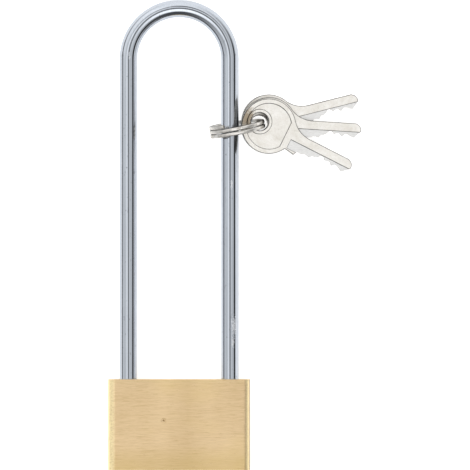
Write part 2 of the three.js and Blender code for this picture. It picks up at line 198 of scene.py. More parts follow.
class Finish:
    # a metal with its own node tree; every pattern is in metres on Object coordinates
    def __init__(self, name, colour, metallic, roughness):
        self.material = bpy.data.materials.new(name)
        self.material.use_nodes = True
        self.tree = self.material.node_tree
        self.shader = self.tree.nodes["Principled BSDF"]
        self.shader.inputs["Base Color"].default_value = (*colour, 1)
        self.shader.inputs["Metallic"].default_value = metallic
        self.shader.inputs["Roughness"].default_value = roughness
        self.place = self.tree.nodes.new("ShaderNodeTexCoord")

    def link(self, output, socket):
        self.tree.links.new(output, socket)

    def noise(self, perMetre, detail=3, rough=0.5, distortion=0):
        # perMetre is the pattern's density along X, Y and Z
        mapping = self.tree.nodes.new("ShaderNodeMapping")
        mapping.inputs["Scale"].default_value = perMetre
        self.link(self.place.outputs["Object"], mapping.inputs["Vector"])
        node = self.tree.nodes.new("ShaderNodeTexNoise")
        node.inputs["Scale"].default_value = 1
        node.inputs["Detail"].default_value = detail
        node.inputs["Roughness"].default_value = rough
        node.inputs["Distortion"].default_value = distortion
        self.link(mapping.outputs["Vector"], node.inputs["Vector"])
        return node.outputs["Fac"]

    def spread(self, value, fromLow, fromHigh, toLow=0, toHigh=1):
        node = self.tree.nodes.new("ShaderNodeMapRange")
        node.inputs["From Min"].default_value = fromLow
        node.inputs["From Max"].default_value = fromHigh
        node.inputs["To Min"].default_value = toLow
        node.inputs["To Max"].default_value = toHigh
        self.link(value, node.inputs["Value"])
        return node.outputs["Result"]

    def maths(self, operation, a, b):
        node = self.tree.nodes.new("ShaderNodeMath")
        node.operation = operation
        for value, socket in ((a, node.inputs[0]), (b, node.inputs[1])):
            if isinstance(value, (int, float)):
                socket.default_value = value
            else:
                self.link(value, socket)
        return node.outputs["Value"]

    def mixed(self, factor, a, b, blend="MIX"):
        node = self.tree.nodes.new("ShaderNodeMix")
        node.data_type = "RGBA"
        node.blend_type = blend
        if isinstance(factor, (int, float)):
            node.inputs["Factor"].default_value = factor
        else:
            self.link(factor, node.inputs["Factor"])
        for value, socket in ((a, node.inputs["A"]), (b, node.inputs["B"])):
            if isinstance(value, tuple):
                socket.default_value = (*value, 1)
            else:
                self.link(value, socket)
        return node.outputs["Result"]

    def bump(self, height, strength, distance, under=None):
        node = self.tree.nodes.new("ShaderNodeBump")
        node.inputs["Strength"].default_value = strength
        node.inputs["Distance"].default_value = distance
        self.link(height, node.inputs["Height"])
        if under:
            self.link(under, node.inputs["Normal"])
        self.link(node.outputs["Normal"], self.shader.inputs["Normal"])
        return node.outputs["Normal"]

    def parts(self, output):
        # the X, Y and Z of the Object place or of the Normal
        split = self.tree.nodes.new("ShaderNodeSeparateXYZ")
        self.link(self.place.outputs[output], split.inputs["Vector"])
        return split.outputs["X"], split.outputs["Y"], split.outputs["Z"]

    def noted(self, name):
        node = self.tree.nodes.new("ShaderNodeAttribute")
        node.attribute_name = name
        return node.outputs["Fac"]

    def near(self, place, reach, stretch=1):
        # 1 at a place given in metres, fading to 0 at the reach, which can be stretched along Y
        away = self.tree.nodes.new("ShaderNodeVectorMath")
        away.operation = "SUBTRACT"
        away.inputs[1].default_value = place
        self.link(self.place.outputs["Object"], away.inputs[0])
        stretched = self.tree.nodes.new("ShaderNodeVectorMath")
        stretched.operation = "MULTIPLY"
        stretched.inputs[1].default_value = (1, 1 / stretch, 1)
        self.link(away.outputs["Vector"], stretched.inputs[0])
        length = self.tree.nodes.new("ShaderNodeVectorMath")
        length.operation = "LENGTH"
        self.link(stretched.outputs["Vector"], length.inputs[0])
        return self.spread(length.outputs["Value"], 0, reach, 1, 0)


# places taken from the frame, in millimetres
bodyLow, bodyHigh = boxOf("lock_body")
shackleLow, shackleHigh = boxOf("shackle")
legRadius = (shackleHigh.z - shackleLow.z) / 2
legX = shackleHigh.x - legRadius
bendY = shackleHigh.y - legX - legRadius
midZ = (bodyLow.z + bodyHigh.z) / 2
plugLow, plugHigh = boxOf("key_plug")
plugRadius = (plugHigh.x - plugLow.x) / 2
boltLow, boltHigh = boxOf("spring_bolt")
boltRadius = (boltHigh.z - boltLow.z) / 2
boltY = middleOf("bolt_bore_plug").y
chamberPlugs = [f"chamber_plug_{k}" for k in range(1, 6)]
pinHeights = [middleOf(name).y for name in chamberPlugs]
runningGap = 0.3  # radial, round the pieces that move
# where the ring holds each key
wireAt = [Vector(joints[f"key_{k}_swing"]["pos_m"]) / metre for k in (1, 2, 3)]

brassLook = {
    "light": (0.79, 0.60, 0.365),
    "deep": (0.44, 0.30, 0.135),
    # painted highlight with rubbed wear, on the rounded and broken edges
    "highlightAndWear": (0.97, 0.83, 0.50),
    "shaded": (0.26, 0.20, 0.13),
    "keyEndColour": (0.54, 0.39, 0.14),  # darker towards the key end
    "keyEndShare": 0.35,
    "warm": (0.74, 0.56, 0.27),
    "shadeBandX": 0.003,  # middle of a faint band of painted shade along the block
    "roughness": 0.36,
    "streakSpread": 0.09,
    "streakDepth": 0.000009,
}


def brushedBrass(name, light, deep, highlightAndWear):
    brass = Finish(name, light, 1.0, brassLook["roughness"])
    normalX, normalY, _ = brass.parts("Normal")
    steep = brass.maths("ABSOLUTE", normalX, 0)
    across = brass.noise((230, 3300, 3300), detail=5, rough=0.68, distortion=0.35)
    onSides = brass.noise((3300, 230, 3300), detail=5, rough=0.68, distortion=0.35)
    turn = brass.tree.nodes.new("ShaderNodeMix")
    brass.link(brass.spread(steep, 0.6, 0.9), turn.inputs["Factor"])
    brass.link(across, turn.inputs["A"])
    brass.link(onSides, turn.inputs["B"])
    streaks = turn.outputs["Result"]
    dashes = brass.spread(brass.noise((230, 2200, 2200), detail=4, rough=0.7, distortion=0.6), 0.54, 0.66)
    clouds = brass.noise((55, 30, 55), detail=2)
    cloudy = brass.spread(clouds, 0.3, 0.7, 0.2, 0.45)
    tone = brass.maths("ADD", brass.spread(streaks, 0.28, 0.72, 0.15, 0.7), cloudy)
    tone = brass.maths("SUBTRACT", tone, brass.maths("MULTIPLY", dashes, 0.24))
    colour = brass.mixed(tone, deep, light)
    warm = brass.spread(brass.noise((40, 60, 40), detail=3), 0.5, 0.75, 0, 0.5)
    colour = brass.mixed(warm, colour, brassLook["warm"])
    placeX, placeY, _ = brass.parts("Object")
    # a faint band of painted shade along the block
    fromBand = brass.maths("ABSOLUTE", brass.maths("SUBTRACT", placeX, brassLook["shadeBandX"]), 0)
    colour = brass.mixed(brass.spread(fromBand, 0, 0.008, 0.2, 0), colour, deep)
    # darker towards the key end
    keyEnd = bodyLow.y * metre
    keyEndShare = brass.spread(placeY, keyEnd + 0.009, keyEnd + 0.003, 0, brassLook["keyEndShare"])
    colour = brass.mixed(keyEndShare, colour, brassLook["keyEndColour"])
    # the rounded long edges and the thin broken ones are lighter: painted highlight, with patchy rubbed
    # wear
    left = brass.maths("MULTIPLY", normalX, -1)
    left = brass.maths("MULTIPLY", brass.spread(left, 0, 0.45), brass.spread(left, 0.998, 0.97))
    right = brass.maths("MULTIPLY", brass.spread(normalX, 0.3, 0.6), brass.spread(normalX, 0.9, 0.82))
    rounded = brass.maths("ADD", left, right)
    endwards = brass.maths("ABSOLUTE", normalY, 0)
    broken = brass.maths("MULTIPLY", brass.spread(endwards, 0.2, 0.5), brass.spread(endwards, 0.98, 0.9))
    rubbed = brass.maths("MAXIMUM", rounded, broken)
    patchy = brass.spread(streaks, 0.35, 0.6, 0.45, 1)
    colour = brass.mixed(brass.maths("MULTIPLY", rubbed, patchy), colour, highlightAndWear)
    shaded = brass.maths("MULTIPLY", brass.spread(normalX, 0.86, 0.94), brass.spread(normalX, 0.999, 0.985))
    colour = brass.mixed(brass.maths("MULTIPLY", shaded, 0.9), colour, brassLook["shaded"])
    brass.link(colour, brass.shader.inputs["Base Color"])
    base, spreadBy = brassLook["roughness"], brassLook["streakSpread"]
    rough = brass.spread(streaks, 0.3, 0.7, base + spreadBy, base - spreadBy)
    rough = brass.maths("ADD", rough, brass.maths("MULTIPLY", rounded, 0.16))
    brass.link(rough, brass.shader.inputs["Roughness"])
    brass.bump(streaks, 0.5, brassLook["streakDepth"])
    return brass.material


bodyBrass = brushedBrass("brushed body brass", brassLook["light"], brassLook["deep"], brassLook["highlightAndWear"])
pressedBrass = brushedBrass(
    "ground pin brass", (0.77, 0.585, 0.355), (0.44, 0.30, 0.14), (0.80, 0.66, 0.40)
)


plugLook = {
    "light": (0.72, 0.53, 0.25),
    "deep": (0.56, 0.38, 0.14),
    "roughness": 0.28,
}


def turnedBrass():
    brass = Finish("turned plug brass", plugLook["light"], 1.0, plugLook["roughness"])
    haze = brass.noise((900, 900, 900), detail=3)
    colour = brass.mixed(haze, plugLook["deep"], plugLook["light"])
    brass.link(colour, brass.shader.inputs["Base Color"])
    rough = brass.spread(haze, 0.3, 0.7, plugLook["roughness"] + 0.08, plugLook["roughness"] - 0.06)
    brass.link(rough, brass.shader.inputs["Roughness"])
    brass.bump(haze, 0.3, 0.00001)
    return brass.material


plugBrass = turnedBrass()

chromeLook = {
    "bright": (0.515, 0.55, 0.60),
    "dull": (0.43, 0.46, 0.505),
    "fleck": (0.17, 0.185, 0.205),
    "roughness": 0.05,
    "scratchDepth": 0.00002,
    "nicked": (0.74, 0.76, 0.79),
}
scuffs = (
    {"leg": 1, "aside": 1.5, "up": 18.5, "reach": 0.0017},
    {"leg": 1, "aside": 1.1, "up": 13.0, "reach": 0.0010},
    {"leg": 1, "aside": 0.7, "up": 68.8, "reach": 0.0008},
    {"leg": -1, "aside": 0.4, "up": 113.7, "reach": 0.0006},
)  # rubbed places on the legs' fronts, in millimetres from each leg's centre line and up from the block


def shackleChrome():
    chrome = Finish("shackle chrome", chromeLook["bright"], 1.0, chromeLook["roughness"])
    drawn = chrome.noise((2400, 26, 2400), detail=4, rough=0.65)  # drawing lines along the legs
    haze = chrome.noise((260, 140, 260), detail=4, rough=0.6)
    tone = chrome.maths("MULTIPLY", chrome.spread(drawn, 0.25, 0.75), chrome.spread(haze, 0.2, 0.7, 0.4, 1))
    nicks = chrome.spread(chrome.noise((520, 160, 520), detail=5, rough=0.8, distortion=1.2), 0.70, 0.73)
    speckle = chrome.noise((3800, 1300, 3800), detail=4, rough=0.75, distortion=0.6)
    for scuff in scuffs:
        aside = scuff["aside"]
        front = midZ + math.sqrt(legRadius * legRadius - aside * aside)
        place = Vector((scuff["leg"] * legX + aside, bodyHigh.y + scuff["up"], front)) * metre
        close = chrome.maths("MULTIPLY", chrome.near(place, scuff["reach"], 4), 0.4)
        rubbed = chrome.spread(chrome.maths("ADD", close, speckle), 0.72, 0.8)
        nicks = chrome.maths("MAXIMUM", nicks, rubbed)
    colour = chrome.mixed(tone, chromeLook["dull"], chromeLook["bright"])
    flecks = chrome.spread(chrome.noise((1300, 380, 1300), detail=4, rough=0.75), 0.62, 0.67, 0, 0.55)
    colour = chrome.mixed(flecks, colour, chromeLook["fleck"])
    colour = chrome.mixed(nicks, colour, chromeLook["nicked"])
    chrome.link(colour, chrome.shader.inputs["Base Color"])
    rough = chrome.spread(haze, 0.2, 0.8, chromeLook["roughness"] - 0.02, chromeLook["roughness"] + 0.03)
    rough = chrome.maths("ADD", rough, chrome.maths("MULTIPLY", nicks, 0.35))
    chrome.link(rough, chrome.shader.inputs["Roughness"])
    lines = chrome.bump(drawn, 0.1, 0.000008)
    chrome.bump(nicks, 0.5, chromeLook["scratchDepth"], lines)
    return chrome.material


nickelLook = {
    "light": (0.955, 0.937, 0.90),
    "deep": (0.745, 0.71, 0.645),
    # edge is a painted dark reflection and shade on the broken edges
    "edge": (0.04, 0.036, 0.03),
    # wall and wallLight are painted shade on the key's side walls
    "wall": (0.24, 0.23, 0.21),
    "wallLight": (0.42, 0.41, 0.385),
    # a painted shadow round the wire
    "paintedShade": (0.07, 0.055, 0.038),
    "milled": (0.84, 0.835, 0.825),
    "milledDeep": (0.72, 0.715, 0.70),
    # rubbed is the colour of a painted shadow on the top key's bow, left of the hole
    "rubbed": (0.30, 0.235, 0.155),
    "shadowFrom": (-5.8, 1.9, 1.7),  # millimetres from where the wire holds the top key
    "dentedFrom": (3.9, -1.6, 1.5),
    "roughness": 0.33,
}


def keyNickel():
    v = nickelLook
    shadowPlace = (wireAt[0] + Vector(v["shadowFrom"])) * metre
    dentedPlace = (wireAt[0] + Vector(v["dentedFrom"])) * metre
    nickel = Finish("key nickel", v["light"], 1.0, v["roughness"])
    grain = nickel.noise((2300, 2300, 2300), detail=4, rough=0.7)
    wear = nickel.noise((260, 260, 260), detail=4, rough=0.65, distortion=0.5)
    scratches = nickel.noise((90, 3200, 900), detail=4, rough=0.7, distortion=0.8)
    grainy = nickel.spread(grain, 0.3, 0.7, 0, 0.4)
    tone = nickel.maths("ADD", nickel.spread(wear, 0.3, 0.65, 0, 0.6), grainy)
    pits = nickel.spread(nickel.noise((950, 950, 950), detail=4, rough=0.75), 0.57, 0.66, 0, 0.42)
    colour = nickel.mixed(nickel.maths("SUBTRACT", tone, pits), v["deep"], v["light"])
    # painted shadow on the top key's bow left of the hole, broken up by speckle
    rubbed = nickel.near(shadowPlace, 0.0055, 1.3)
    speckle = nickel.noise((1500, 1500, 1500), detail=4, rough=0.7, distortion=0.4)
    rubbed = nickel.maths("ADD", nickel.maths("MULTIPLY", rubbed, 0.6), speckle)
    rubbed = nickel.spread(rubbed, 0.66, 0.92, 0, 0.9)
    colour = nickel.mixed(rubbed, colour, v["rubbed"])
    milled = nickel.noted("milled")
    cutterLines = nickel.noise((900, 5200, 900), detail=2)
    fresh = nickel.mixed(nickel.spread(cutterLines, 0.3, 0.7), v["milledDeep"], v["milled"])
    colour = nickel.mixed(milled, colour, fresh)
    # the side walls are painted in shade, streaked in a sheared pattern
    sheared = nickel.noise((1800, 1800, 160), detail=3)
    wall = nickel.mixed(nickel.spread(sheared, 0.3, 0.7), v["wall"], v["wallLight"])
    colour = nickel.mixed(nickel.noted("wall"), colour, wall)
    # painted shadow round the wire, under the top key
    held = nickel.spread(nickel.near(wireAt[2] * metre, 0.0066), 0.2, 0.4, 0, 0.9)
    colour = nickel.mixed(held, colour, v["paintedShade"])
    # painted dark reflection and shade in thin lines on the broken edges
    paintedShade = nickel.spread(nickel.noise((620, 620, 620), detail=3), 0.3, 0.7, 0.65, 1)
    dark = nickel.maths("MULTIPLY", nickel.noted("edge"), paintedShade)
    colour = nickel.mixed(dark, colour, v["edge"])
    nickel.link(colour, nickel.shader.inputs["Base Color"])
    rough = nickel.spread(scratches, 0.3, 0.7, v["roughness"] - 0.07, v["roughness"] + 0.08)
    nickel.link(rough, nickel.shader.inputs["Roughness"])
    pressed = nickel.bump(wear, 0.4, 0.00012)
    fine = nickel.bump(grain, 0.35, 0.00001, pressed)
    dented = nickel.maths("MULTIPLY", pits, nickel.spread(nickel.near(dentedPlace, 0.0075), 0, 0.4))
    knocked = nickel.bump(dented, 0.6, 0.00012, fine)
    nickel.bump(scratches, 0.2, 0.000012, knocked)
    return nickel.material


ringLook = {
    "light": (0.78, 0.76, 0.73),
    "deep": (0.52, 0.50, 0.46),
    "rubbed": (0.36, 0.33, 0.28),
    # a painted shadow on the wire inside the keys
    "paintedShade": (0.09, 0.08, 0.065),
    # edge is painted shade between the turns of the wire
    "edge": (0.07, 0.064, 0.055),
    "roughness": 0.34,
}


def ringNickel():
    v = ringLook
    nickel = Finish("ring nickel", v["light"], 1.0, v["roughness"])
    haze = nickel.noise((800, 800, 800), detail=4, rough=0.6)
    rubbed = nickel.noise((300, 300, 300), detail=4, rough=0.7, distortion=0.6)
    colour = nickel.mixed(nickel.spread(haze, 0.3, 0.7), v["deep"], v["light"])
    colour = nickel.mixed(nickel.spread(rubbed, 0.58, 0.68, 0, 0.7), colour, v["rubbed"])
    held = nickel.spread(nickel.near(wireAt[1] * metre, 0.006), 0.1, 0.4, 0, 0.9)  # painted shadow inside the keys
    colour = nickel.mixed(held, colour, v["paintedShade"])
    # painted shade between the turns of the wire
    paintedShade = nickel.spread(nickel.noise((500, 500, 500), detail=3), 0.3, 0.7, 0.75, 1)
    dark = nickel.maths("MULTIPLY", nickel.noted("edge"), paintedShade)
    colour = nickel.mixed(dark, colour, v["edge"])
    nickel.link(colour, nickel.shader.inputs["Base Color"])
    rough = nickel.spread(haze, 0.3, 0.7, v["roughness"] + 0.08, v["roughness"] - 0.06)
    nickel.link(rough, nickel.shader.inputs["Roughness"])
    nickel.bump(haze, 0.25, 0.00001)
    return nickel.material


def plainSteel(name, dark, light, roughness):
    steel = Finish(name, light, 1.0, roughness)
    haze = steel.noise((1200, 1200, 1200), detail=3)
    steel.link(steel.mixed(haze, dark, light), steel.shader.inputs["Base Color"])
    rough = steel.spread(haze, 0.3, 0.7, roughness + 0.08, roughness - 0.06)
    steel.link(rough, steel.shader.inputs["Roughness"])
    steel.bump(haze, 0.2, 0.00001)
    return steel.material


chrome = shackleChrome()
keyMetal = keyNickel()
ringMetal = ringNickel()
innerSteel = plainSteel("inner steel", (0.38, 0.39, 0.41), (0.58, 0.59, 0.61), 0.3)
springSteel = plainSteel("spring steel", (0.28, 0.29, 0.30), (0.48, 0.49, 0.51), 0.32)
print("materials made")

lockBody = {
    "edgeRadius": 2.6,
    "edgeSteps": 12,
    "endBreak": 0.16,
    "mouthBreak": 0.35,
    "pinMouthBreak": 0.03,
    "pinFit": 0.02,  # radial, round the pins and plugs ground flush
    "toeDepth": 12.3,
    "camRadius": 3.5,
}


def bore(radius, depth, mouth, steps=64):
    # a cutter that stands at a hole's mouth and goes down along -Z, with a small chamfer
    flare = radius + mouth * 2
    return turned([(0, -depth), (radius, -depth), (radius, -mouth), (flare, mouth), (0, mouth)], steps)


def bodyTools():
    v = lockBody
    top, bottom, side = bodyHigh.y, bodyLow.y, bodyHigh.x
    heelDepth = top - boxOf("heel_spring")[0].y + 0.2
    mouth, fineMouth = v["mouthBreak"], v["pinMouthBreak"]
    plugBore = bore(plugRadius + runningGap, plugHigh.y - bottom + 0.2, mouth)
    tools = [
        placed(bore(legRadius + runningGap, heelDepth, mouth), "y", (-legX, top, midZ)),
        placed(bore(legRadius + runningGap, v["toeDepth"], mouth), "y", (legX, top, midZ)),
        placed(plugBore, "-y", (0, bottom, midZ)),
        placed(rod(v["camRadius"], plugHigh.y, boltY), "y", (0, 0, midZ)),
    ]
    boltStart = boxOf("bolt_spring")[0].x - 0.2
    boltBore = bore(boltRadius + runningGap, side - boltStart, fineMouth)
    tools.append(placed(boltBore, "x", (side, boltY, midZ)))
    low, high = boxOf(chamberPlugs[0])
    chamber = (high.z - low.z) / 2 + v["pinFit"]
    for y in pinHeights:
        chamberBore = bore(chamber, side - plugRadius + 1, fineMouth, 32)
        tools.append(placed(chamberBore, "x", (side, y, midZ)))
    for name in ("plug_retaining_pin", "heel_retaining_pin"):
        low, high = boxOf(name)
        at = middleOf(name)
        radius = (high.x - low.x) / 2 + v["pinFit"]
        if name.startswith("plug"):
            pinBore = bore(radius, bodyHigh.z - low.z + 1, fineMouth, 32)
            tools.append(placed(pinBore, "z", (at.x, at.y, bodyHigh.z)))
        else:
            tools.append(placed(rod(radius, -1, high.z + 0.3, 32), "z", (at.x, at.y, 0)))
    return tools


def makeBody():
    v = lockBody
    bm = block(bodyLow, bodyHigh)
    long = [e for e in bm.edges if abs(e.verts[0].co.y - e.verts[1].co.y) > 1]
    bmesh.ops.bevel(
        bm, geom=long, offset=v["edgeRadius"], offset_type="OFFSET", segments=v["edgeSteps"], profile=0.5,
        affect="EDGES", material=-1,
    )
    ends = [e for e in bm.edges if abs(e.verts[0].co.y - e.verts[1].co.y) < 1e-4]
    bmesh.ops.bevel(
        bm, geom=ends, offset=v["endBreak"], offset_type="OFFSET", segments=2, profile=0.5,
        affect="EDGES", material=-1,
    )
    bm = carve(bm, bodyTools())
    return finishPiece(bm, "brassBody", bodyBrass, "body_brass", "body", "lock_body")


makeBody()


def makePressedPiece(name, node, axis, material, slot, punched=0.0):
    # a pin or plug ground flush with the block, with a hair-fine broken edge and perhaps a punch mark
    low, high = boxOf(node)
    at = (low + high) / 2
    size = high - low
    length = {"x": size.x, "z": size.z}[axis]
    radius = size.y / 2
    half = length / 2
    brk = 0.06
    rim = radius - brk
    profile = [(0, -half), (rim, -half), (radius, -half + brk), (radius, half - brk), (rim, half)]
    if punched:
        profile += [(punched + 0.06, half), (punched, half - 0.05), (punched * 0.7, half - 1.2)]
        profile.append((0, half - 1.3))
    else:
        profile.append((0, half))
    bm = turned(profile, 48)
    return finishPiece(placed(bm, axis, at), name, material, slot, "body", node)


for k, node in enumerate(chamberPlugs, 1):
    makePressedPiece(f"chamberPlug{k}", node, "x", pressedBrass, "body_brass")
makePressedPiece("boltBorePlug", "bolt_bore_plug", "x", pressedBrass, "body_brass")
makePressedPiece("plugRetainingPin", "plug_retaining_pin", "z", pressedBrass, "body_brass", punched=0.3)
makePressedPiece("heelRetainingPin", "heel_retaining_pin", "z", innerSteel, "inner_steel")
print("body made")

shackle = {
    "sides": 64,
    "bendSteps": 72,
    "endTaper": 1.0,
    "endTaperLength": 1.4,
    "toeDepth": 11.5,
    "neckRadius": 1.9,
    "notchDepth": 1.65,
    "travel": 12.5,
}


def pushLoop(bm, edges, centre, dy=0.0, scale=1.0):
    # extrudes the open end of the bar along Y, wider or narrower, and returns the new open end
    made = bmesh.ops.extrude_edge_only(bm, edges=edges)["geom"]
    verts = [g for g in made if isinstance(g, bmesh.types.BMVert)]
    bmesh.ops.translate(bm, verts=verts, vec=(0, dy, 0))
    if scale != 1.0:
        space = Matrix.Translation(-Vector(centre))
        bmesh.ops.scale(bm, verts=verts, vec=(scale, 1, scale), space=space)
    return [g for g in made if isinstance(g, bmesh.types.BMEdge) and all(v in verts for v in g.verts)]


def makeShackle():
    v = shackle
    bm = bmesh.new()
    made = bmesh.ops.create_circle(bm, segments=v["sides"], radius=legRadius)
    bm.transform(Matrix.Translation((legX, bendY, midZ)) @ facing["y"])
    toeEnd = bm.edges[:]
    spun = bmesh.ops.spin(
        bm, geom=bm.verts[:] + bm.edges[:], cent=(0, bendY, midZ), axis=(0, 0, 1), angle=math.pi,
        steps=v["bendSteps"],
    )
    heelEnd = [g for g in spun["geom_last"] if isinstance(g, bmesh.types.BMEdge)]
    narrow = (legRadius - v["endTaper"]) / legRadius
    toeBottom = bodyHigh.y - v["toeDepth"]
    toe = (legX, 0, midZ)
    toeEnd = pushLoop(bm, toeEnd, toe, toeBottom + v["endTaperLength"] - bendY)
    toeEnd = pushLoop(bm, toeEnd, toe, -v["endTaperLength"], narrow)
    heelPin = middleOf("heel_retaining_pin")
    pinRadius = (boxOf("heel_retaining_pin")[1].x - boxOf("heel_retaining_pin")[0].x) / 2
    neckTop = heelPin.y + pinRadius + runningGap
    neckBottom = heelPin.y - pinRadius - runningGap - v["travel"]
    neck = v["neckRadius"] / legRadius
    heel = (-legX, 0, midZ)
    heelEnd = pushLoop(bm, heelEnd, heel, neckTop - bendY)
    heelEnd = pushLoop(bm, heelEnd, heel, 0, neck)
    heelEnd = pushLoop(bm, heelEnd, heel, neckBottom - neckTop)
    heelEnd = pushLoop(bm, heelEnd, heel, 0, 1 / neck)
    heelEnd = pushLoop(bm, heelEnd, heel, shackleLow.y - neckBottom + 0.6)
    heelEnd = pushLoop(bm, heelEnd, heel, -0.6, narrow)
    for end in (toeEnd, heelEnd):
        bmesh.ops.contextual_create(bm, geom=end)
    bmesh.ops.recalc_face_normals(bm, faces=bm.faces[:])
    gap = boltRadius + runningGap
    floor = legX - legRadius + v["notchDepth"]
    mouth = floor - 3
    notch = plate(
        [(mouth, boltY - gap - 1), (floor, boltY - gap), (floor, boltY + gap), (mouth, boltY + gap + 1)],
        midZ - 6, midZ + 6,
    )
    bm = carve(bm, [notch])
    return finishPiece(bm, "longShackle", chrome, "shackle_chrome", "shackle", "shackle")


makeShackle()
print("shackle made")

# the plug has its keyway open along Z, as the frame holds it
keyPlug = {
    "rimBreak": 0.5,
    "faceDish": 0.25,
    "dishRadius": 4.6,
    "wayHalf": 1.2,
    "ward": 0.55,
    "spine": 2.6,
    "edge": 3.8,
}


def makePlug():
    v = keyPlug
    length = plugHigh.y - plugLow.y
    r = plugRadius
    dishFloor = length - v["faceDish"]
    profile = [
        (0, 0), (r, 0), (r, length - v["rimBreak"]), (r - v["rimBreak"], length),
        (v["dishRadius"], length), (v["dishRadius"] - 0.4, dishFloor), (0, dishFloor),
    ]
    bm = turned(profile, 72)
    w, ward = v["wayHalf"], v["ward"]
    # the keyway as a key sees it: the blade's cuts lie towards -Z of the frame, with a ward on each side
    keyway = [
        (-w, v["spine"]), (-w, 0.4), (-w + ward, 0.1), (-w + ward, -0.9), (-w, -1.2), (-w, -v["edge"]),
        (w, -v["edge"]), (w, -2.3), (w - ward, -2.0), (w - ward, -1.3), (w, -1.0), (w, v["spine"]),
    ]
    tools = [plate(keyway, -1, length + 1)]
    pinLow, pinHigh = boxOf("plug_retaining_pin")
    at = middleOf("plug_retaining_pin")
    pinRadius = (pinHigh.x - pinLow.x) / 2
    grooveFloor = -at.x - pinRadius - runningGap
    grooveAt = plugHigh.y - at.y
    wide = pinRadius + runningGap
    groove = bmesh.new()
    near, far = grooveAt - wide, grooveAt + wide
    corners = [(grooveFloor, near), (r + 1, near), (r + 1, far), (grooveFloor, far)]
    ringVerts = [groove.verts.new((x, 0, z)) for x, z in corners]
    ringEdges = [groove.edges.new((ringVerts[i], ringVerts[(i + 1) % 4])) for i in range(4)]
    bmesh.ops.spin(
        groove, geom=ringVerts + ringEdges, cent=(0, 0, 0), axis=(0, 0, 1), angle=2 * math.pi, steps=64,
        use_merge=True,
    )
    bmesh.ops.remove_doubles(groove, verts=groove.verts[:], dist=1e-4)
    bmesh.ops.recalc_face_normals(groove, faces=groove.faces[:])
    tools.append(groove)
    for k, y in enumerate(pinHeights, 1):
        low, high = boxOf(f"key_pin_{k}")
        radius = (high.x - low.x) / 2 + 0.2
        tip = midZ - high.z - 2
        chamber = rod(radius, tip, r + 1, 24)
        chamber.transform(Matrix.Translation((0, 0, plugHigh.y - y)) @ facing["-y"])
        tools.append(chamber)
    bm = carve(bm, tools)
    bm.transform(Matrix.Translation((0, plugHigh.y, midZ)) @ facing["-y"])
    return finishPiece(bm, "keyPlug", plugBrass, "plug_brass", "plug", "key_plug")


makePlug()
print("plug made")

splitRing = {
    "outerRadius": 9.9,
    "width": 1.2,
    "height": 1.3,
    "cornerRadius": 0.4,
    "pitch": 1.5,
    "start": 119,
    "end": 930,
    "yaw": 9.7,
    "lean": 5,
    "belowBend": 24.15,
    "insideLeg": 0.6,
    "aboveFloor": 0.2,
    "stepDegrees": 4,
}


def ringSpace():
    # the ring's own axes: X to its right, Y to its front, Z along the way its wire winds
    v = splitRing
    yaw = math.radians(v["yaw"])
    along = Vector((math.cos(yaw), math.sin(yaw), 0))
    axis = Vector((-math.sin(yaw), math.cos(yaw), 0))
    axis.rotate(Matrix.Rotation(math.radians(v["lean"]), 3, along))
    front = along.cross(axis)
    space = Matrix((along, front, -axis)).transposed().to_4x4()
    space.translation = (
        legX + legRadius - v["insideLeg"],
        bendY - v["belowBend"],
        v["outerRadius"] + v["aboveFloor"],
    )
    return space


def makeRing():
    v = splitRing
    w, h, c = v["width"] / 2, v["height"] / 2, v["cornerRadius"]
    section = []
    for x, y, start in ((w - c, h - c, 0), (c - w, h - c, 90), (c - w, c - h, 180), (w - c, c - h, 270)):
        section += arc(x, y, c, start, start + 90, 4)
    turn = v["end"] - v["start"]
    steps = round(turn / v["stepDegrees"])
    bm = bmesh.new()
    wireRadius = v["outerRadius"] - w
    first = bm.faces.new([bm.verts.new((wireRadius + x, 0, y)) for x, y in section])
    bmesh.ops.spin(
        bm, geom=[first], cent=(0, 0, 0), axis=(0, 0, 1), dvec=(0, 0, v["pitch"] * turn / 360 / steps),
        angle=math.radians(turn), steps=steps,
    )
    middle = Matrix.Translation((0, 0, -v["pitch"] * turn / 720))
    bm.transform(middle @ Matrix.Rotation(math.radians(v["start"]), 4, "Z"))
    bm.transform(ringSpace())
    bmesh.ops.remove_doubles(bm, verts=bm.verts[:], dist=1e-4)
    bmesh.ops.recalc_face_normals(bm, faces=bm.faces[:])
    axis = ringSpace().col[2].to_3d()
    bm.normal_update()
    # faces between the turns, which the material paints in shade
    marked(bm, "edge", lambda face: abs(face.normal.dot(axis)) > 0.6)
    return finishPiece(bm, "splitRing", ringMetal, "ring_nickel", "ring", "split_ring")


makeRing()
print("ring made")

# a key's centre line lies along X from the bow's centre, and its cuts face -Y
key = {
    "thickness": 2.0,
    "bowRadius": 9.72,
    "holeRadius": 3.15,
    "holeSetback": 3.64,
    "collarRadius": 4.47,
    "recessRadius": 8.2,
    "recessChord": 6.74,
    "recessDepth": 0.25,
    "shoulder": 13.0,
    "blade": 19.7,
    "spine": 2.4,
    "edge": 3.6,
    "millTop": 0.58,
    "millBottom": 3.76,
    "millDepth": 0.5,
    "millStart": 9.0,
    "firstCut": 3.4,
    "cutPitch": 2.8,
    "cutFlat": 0.8,
    "cuts": (3.1, 2.4, 0.9, 1.5, 1.6),
    "edgeBreak": 0.24,
    "recessBreak": 0.22,
    "millBreak": 0.2,
}
keyPoses = (
    {"angle": -26.5, "ahead": 1.45, "aside": 0},
    {"angle": -3.4, "ahead": 1.3, "aside": -0.5},
    {"angle": 14.1, "ahead": 0.9, "aside": -0.4},
)  # direction of each key, and where the wire sits: ahead of the hole's centre, and to its side


def cutEdge(x):
    # how far the bitted edge lies from the centre line
    v = key
    tip = v["shoulder"] + v["blade"]
    limits = [v["edge"], v["millTop"] + 0.9 * (tip - x)]
    for k, height in enumerate(v["cuts"]):
        away = abs(x - (v["shoulder"] + v["firstCut"] + k * v["cutPitch"])) - v["cutFlat"] / 2
        limits.append(height + max(0, away))
    return min(limits)


